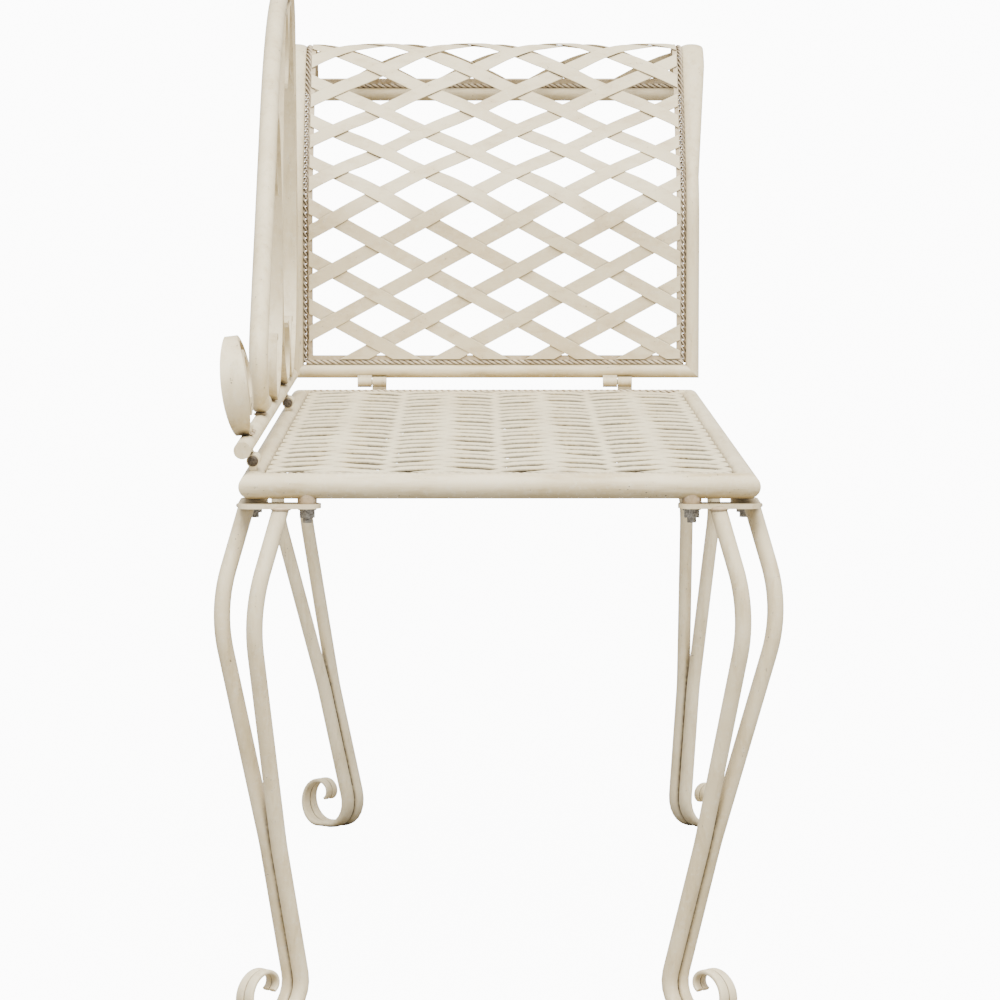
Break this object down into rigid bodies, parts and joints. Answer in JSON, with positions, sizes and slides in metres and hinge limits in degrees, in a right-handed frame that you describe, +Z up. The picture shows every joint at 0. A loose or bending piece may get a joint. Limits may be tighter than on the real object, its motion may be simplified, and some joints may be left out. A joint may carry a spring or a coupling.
{
  "type": "garden bench",
  "caption": "Chaise-style painted steel garden bench with a woven strip seat, a rolled end rest and a scrolled side back, both hinged to fold, on curved twin-rod legs.",
  "frame": {"origin": "on the floor, midway along and across the bench", "axes": "+X along the bench from the open foot end to the end rest, +Y towards the back, +Z up"},
  "size_m": [1.286, 0.5071, 0.924],
  "materials": {
    "cream_paint": "satin antique white paint",
    "zinc_steel": "dull zinc plating"
  },
  "bodies": {
    "seat": {"back_hinge_pins": "zinc_steel", "back_hinge_seat_barrels": "cream_paint", "leg_nuts": "zinc_steel", "leg_plate_foot_back": "cream_paint", "leg_plate_foot_front": "cream_paint", "leg_plate_head_back": "cream_paint", "leg_plate_head_front": "cream_paint", "leg_rods_foot_back": "cream_paint", "leg_rods_foot_front": "cream_paint", "leg_rods_head_back": "cream_paint", "leg_rods_head_front": "cream_paint", "leg_saddles": "cream_paint", "leg_studs": "zinc_steel", "leg_washers": "zinc_steel", "rest_hinge_pins": "zinc_steel", "rest_hinge_seat_barrels": "cream_paint", "seat_back_rail": "cream_paint", "seat_edge_bars": "cream_paint", "seat_foot_rail": "cream_paint", "seat_front_rail": "cream_paint", "seat_head_rail": "cream_paint", "seat_strips_falling": "cream_paint", "seat_strips_rising": "cream_paint", "seat_twist_trim": "cream_paint"},
    "back": {"back_hinge_panel_barrels": "cream_paint", "back_rail": "cream_paint", "back_rail_caps": "cream_paint", "back_scroll_foot": "cream_paint", "back_scroll_head": "cream_paint", "back_scroll_post": "cream_paint", "back_top_tube": "cream_paint", "back_volute": "cream_paint"},
    "end_rest": {"rest_back_rail": "cream_paint", "rest_bottom_bar": "cream_paint", "rest_edge_bars": "cream_paint", "rest_front_rail": "cream_paint", "rest_hinge_panel_barrels": "cream_paint", "rest_roll_bar": "cream_paint", "rest_strips_falling": "cream_paint", "rest_strips_rising": "cream_paint", "rest_twist_trim": "cream_paint"}
  },
  "joints": [
    {"name": "back_fold", "type": "hinge", "parent": "seat", "child": "back", "pos_m": [-0.0905, 0.21999, 0.4925], "axis": [1, 0, 0], "range_deg": [0, 90]},
    {"name": "rest_fold", "type": "hinge", "parent": "seat", "child": "end_rest", "pos_m": [0.4285, 0.00598, 0.4925], "axis": [0, -1, 0], "range_deg": [0, 45]}
  ],
  "couplings": [
    {"joint": "rest_fold", "follows": "back_fold", "ratio": 0.5}
  ]
}
